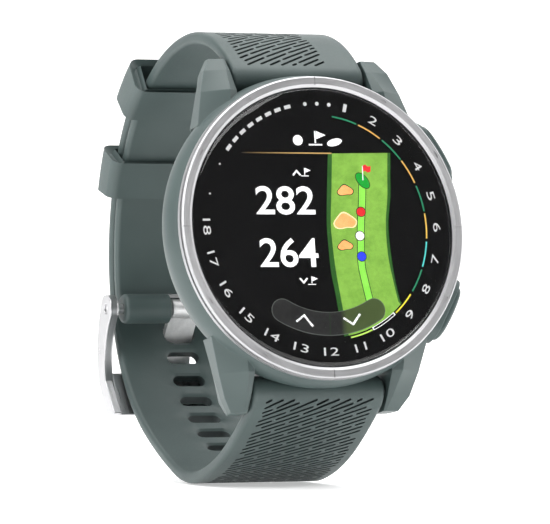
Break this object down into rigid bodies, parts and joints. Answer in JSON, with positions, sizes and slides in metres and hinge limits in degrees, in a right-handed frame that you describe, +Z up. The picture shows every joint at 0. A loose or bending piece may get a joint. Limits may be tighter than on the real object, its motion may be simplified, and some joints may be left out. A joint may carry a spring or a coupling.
{
  "type": "golf gps watch",
  "caption": "Golf GPS wrist watch, buckled: round case with a metal ring and colour screen, side buttons, textured strap with keepers and tongue buckle.",
  "frame": {"origin": "centre of the footprint, at the lowest point of the strap, on the surface that the watch stands on", "axes": "+Z up, -Y the side that the dial faces (leaning back 9.4 degrees), +X the wearer's right and the buttons' side, along the wrist"},
  "size_m": [0.0435, 0.0592, 0.0632],
  "materials": {
    "case_polymer": "fine matt, slate grey-green",
    "strap_silicone": "matt silicone with moulded dashes, slate grey-green",
    "brushed_metal": "brushed",
    "polished_metal": "polished",
    "cover_glass": "clear, glossy",
    "display": "black with a lit picture",
    "black_adhesive": "matt black foam",
    "black_plastic": "moulded, matt black",
    "flex_film": "amber film with copper tracks",
    "board_laminate": "green solder mask",
    "chip_resin": "dull black resin",
    "tinned_sheet": "satin tinned sheet",
    "antenna_metal": "gold-plated strip on a carrier",
    "cell_foil": "satin foil pouch",
    "motor_steel": "drawn can",
    "heavy_alloy": "sintered tungsten alloy",
    "buzzer_brass": "satin",
    "gasket_rubber": "soft black silicone",
    "insert_brass": "knurled",
    "contact_gold": "gold plated, polished",
    "spring_steel": "bright drawn wire"
  },
  "bodies": {
    "watch": {"case_body": "case_polymer", "bezel_ring": "brushed_metal", "cover_glass": "cover_glass", "glass_adhesive": "black_adhesive", "display_panel": "display", "display_flex": "flex_film", "display_frame": "black_plastic", "gps_antenna": "antenna_metal", "main_board": "board_laminate", "board_chips": "chip_resin", "shield_can": "tinned_sheet", "battery": "cell_foil", "battery_flex": "flex_film", "vibration_motor": "motor_steel", "motor_cradle": "gasket_rubber", "buzzer": "buzzer_brass", "rear_cover": "case_polymer", "rear_gasket": "gasket_rubber", "screw_inserts": "insert_brass", "rear_screws": "polished_metal", "charge_port": "black_plastic", "charge_contacts": "contact_gold", "button_flex": "flex_film", "strap_upper": "strap_silicone", "strap_lower": "strap_silicone", "buckle_pin": "polished_metal", "upper_button_spring": "spring_steel", "upper_button_switch": "black_plastic", "lower_button_spring": "spring_steel", "lower_button_switch": "black_plastic", "upper_bar_tube": "polished_metal", "upper_bar_spring": "spring_steel", "lower_bar_tube": "polished_metal", "lower_bar_spring": "spring_steel"},
    "motor_weight": {"motor_weight": "heavy_alloy"},
    "upper_button": {"upper_button_cap": "case_polymer", "upper_button_seal": "gasket_rubber", "upper_button_clip": "spring_steel"},
    "lower_button": {"lower_button_cap": "case_polymer", "lower_button_seal": "gasket_rubber", "lower_button_clip": "spring_steel"},
    "upper_bar_lever": {"upper_bar_lever": "polished_metal"},
    "lower_bar_lever": {"lower_bar_lever": "polished_metal"},
    "buckle_frame": {"buckle_frame": "brushed_metal"},
    "buckle_tongue": {"buckle_tongue": "polished_metal"},
    "upper_keeper": {"upper_keeper": "strap_silicone"},
    "lower_keeper": {"lower_keeper": "strap_silicone"}
  },
  "joints": [
    {"name": "upper_button_press", "type": "slide", "parent": "watch", "child": "upper_button", "axis": [-0.866, -0.0817, -0.4933], "range_m": [0, 0.0006], "stiffness_N_per_m": 1500, "springref_m": -0.0003, "deforming": ["upper_button_spring"]},
    {"name": "lower_button_press", "type": "slide", "parent": "watch", "child": "lower_button", "axis": [-0.866, 0.0817, 0.4933], "range_m": [0, 0.0006], "stiffness_N_per_m": 1500, "springref_m": -0.0003, "deforming": ["lower_button_spring"]},
    {"name": "upper_bar_release", "type": "slide", "parent": "watch", "child": "upper_bar_lever", "axis": [1, 0, 0], "range_m": [0, 0.0015], "stiffness_N_per_m": 500, "springref_m": -0.001, "deforming": ["upper_bar_spring"]},
    {"name": "lower_bar_release", "type": "slide", "parent": "watch", "child": "lower_bar_lever", "axis": [1, 0, 0], "range_m": [0, 0.0015], "stiffness_N_per_m": 500, "springref_m": -0.001, "deforming": ["lower_bar_spring"]},
    {"name": "buckle_frame_swing", "type": "hinge", "parent": "watch", "child": "buckle_frame", "pos_m": [0, 0.02386, 0.02424], "axis": [1, 0, 0], "range_deg": [0, 4]},
    {"name": "buckle_tongue_swing", "type": "hinge", "parent": "watch", "child": "buckle_tongue", "pos_m": [0, 0.02386, 0.02424], "axis": [1, 0, 0], "range_deg": [0, 4]},
    {"name": "upper_keeper_slide", "type": "hinge", "parent": "watch", "child": "upper_keeper", "pos_m": [0, -0.00362, 0.03213], "axis": [1, 0, 0], "range_deg": [-6, 12]},
    {"name": "lower_keeper_slide", "type": "hinge", "parent": "watch", "child": "lower_keeper", "pos_m": [0, -0.00362, 0.03213], "axis": [1, 0, 0], "range_deg": [-20, 8]},
    {"name": "motor_spin", "type": "hinge", "parent": "watch", "child": "motor_weight", "pos_m": [0, -0.02024, 0.02293], "axis": [1, 0, 0], "continuous": true}
  ],
  "couplings": [
    {"joint": "buckle_tongue_swing", "follows": "buckle_frame_swing", "ratio": 1}
  ]
}
